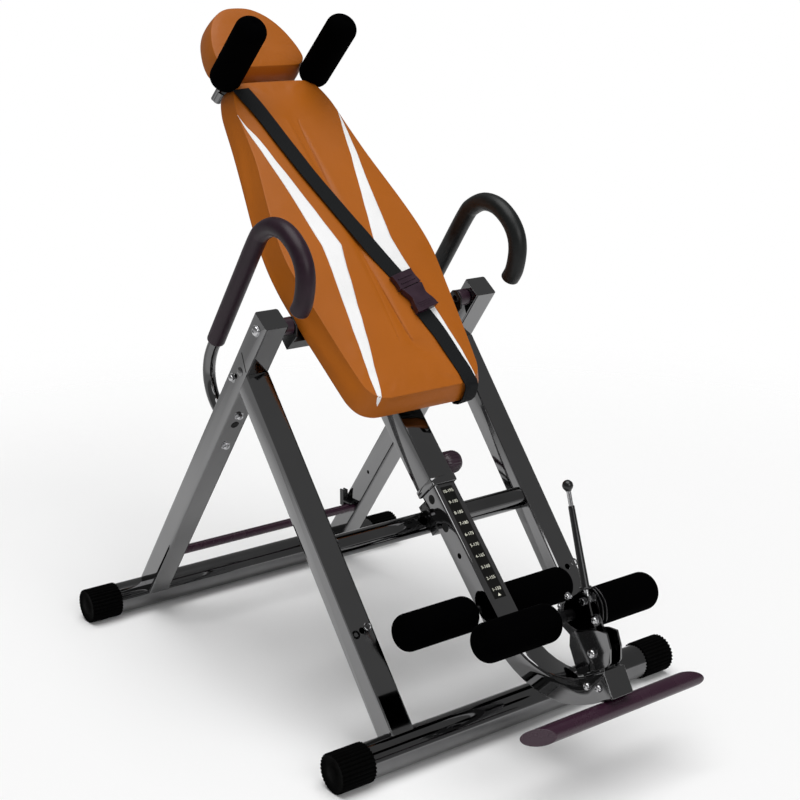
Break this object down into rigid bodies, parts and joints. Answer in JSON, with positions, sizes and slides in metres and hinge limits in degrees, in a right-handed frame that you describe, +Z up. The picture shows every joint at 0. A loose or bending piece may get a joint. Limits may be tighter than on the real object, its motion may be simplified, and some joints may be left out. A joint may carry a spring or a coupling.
{
  "type": "inversion table",
  "caption": "A-frame inversion table: padded bed tilts on a pivot between the legs, height-adjustable foot tube, foam roller ankle clamp with lever, shoulder rollers and side grab handles.",
  "frame": {"origin": "on the floor, at the middle of the machine's bounding box", "axes": "+Z up, +X across the machine to its right as seen from the foot end looking at the bed, +Y from the foot end towards the head end; bed pictured reclined with the ankle clamp closed"},
  "size_m": [0.8144, 1.2217, 1.2678],
  "materials": {
    "leg_metal": "satin gunmetal grey powder coat",
    "black_chrome": "dark mirror-like black chrome plating",
    "bed_metal": "satin dark grey powder coat",
    "black_metal": "semi-gloss black paint",
    "purple_metal": "semi-gloss very dark purple paint",
    "purple_plastic": "very dark purple moulded plastic",
    "bright_metal": "bright plated steel",
    "rubber": "matte black moulded rubber",
    "roller_foam": "matte black closed-cell foam rubber",
    "grip_foam": "dull purple-black foam rubber sleeve",
    "upholstery": "satin tan-orange coated fabric that imitates leather, over soft foam",
    "board": "black painted plywood",
    "webbing": "dark grey woven belt webbing",
    "black_plastic": "black moulded plastic"
  },
  "bodies": {
    "base": {"rear_leg_left": "leg_metal", "rear_leg_right": "leg_metal", "front_leg_left": "leg_metal", "front_leg_right": "leg_metal", "rear_floor_tube": "black_chrome", "front_floor_tube": "black_chrome", "floor_cap_rear_left": "rubber", "floor_cap_rear_right": "rubber", "floor_cap_front_left": "rubber", "floor_cap_front_right": "rubber", "front_cross_tube": "black_chrome", "stop_bracket": "black_metal", "stop_bumper": "rubber", "limit_bar": "purple_metal", "limit_bar_clip": "black_metal", "handle_tube_left": "black_chrome", "handle_tube_right": "black_chrome", "handle_grip_left": "grip_foam", "handle_grip_right": "grip_foam", "pivot_bolt_left": "bright_metal", "pivot_bolt_right": "bright_metal", "joint_bolt_left": "bright_metal", "joint_bolt_right": "bright_metal", "handle_bolt_upper_left": "bright_metal", "handle_bolt_upper_right": "bright_metal", "handle_bolt_lower_left": "bright_metal", "handle_bolt_lower_right": "bright_metal"},
    "bed": {"pivot_crossbar": "black_metal", "pivot_hub_left": "purple_plastic", "pivot_hub_right": "purple_plastic", "bed_tube": "bed_metal", "tube_collar": "black_plastic", "backrest_board": "board", "backrest_pad": "upholstery", "headrest_bracket": "black_metal", "headrest_pad": "upholstery", "shoulder_frame": "bed_metal", "shoulder_roller_left": "roller_foam", "shoulder_roller_right": "roller_foam", "belt_upper": "webbing", "belt_lower": "webbing", "buckle_body": "purple_plastic", "buckle_tongue": "purple_plastic"},
    "height_pin": {"height_pin": "bright_metal", "height_knob": "purple_plastic"},
    "foot_tube": {"foot_tube": "bed_metal", "rear_axle": "bright_metal", "rear_roller_left": "roller_foam", "rear_roller_right": "roller_foam", "foot_bar": "purple_metal", "clamp_bracket": "black_metal", "clamp_pivot_bolt": "bright_metal"},
    "ankle_clamp": {"clamp_arm": "black_metal", "front_axle": "bright_metal", "front_roller_left": "roller_foam", "front_roller_right": "roller_foam", "lever_pin": "bright_metal"},
    "clamp_lever": {"lever_rod": "bright_metal", "lever_sleeve": "black_plastic", "lever_ball": "black_plastic"}
  },
  "joints": [
    {"name": "bed_tilt", "type": "hinge", "parent": "base", "child": "bed", "pos_m": [0, 0.0784, 0.7132], "axis": [-1, 0, 0], "range_deg": [0, 94]},
    {"name": "foot_tube_slide", "type": "slide", "parent": "bed", "child": "foot_tube", "axis": [0, 0.6876, 0.7261], "range_m": [0, 0.12]},
    {"name": "height_pin_pull", "type": "slide", "parent": "bed", "child": "height_pin", "axis": [1, 0, 0], "range_m": [0, 0.01], "stiffness_N_per_m": 400, "springref_m": -0.006},
    {"name": "ankle_clamp_swing", "type": "hinge", "parent": "foot_tube", "child": "ankle_clamp", "pos_m": [0, -0.5501, 0.232], "axis": [1, 0, 0], "range_deg": [0, 40]},
    {"name": "clamp_lever_pull", "type": "hinge", "parent": "ankle_clamp", "child": "clamp_lever", "pos_m": [0, -0.5206, 0.316], "axis": [-1, 0, 0], "range_deg": [0, 12], "stiffness_Nm_per_rad": 2, "springref_deg": -8.59}
  ]
}
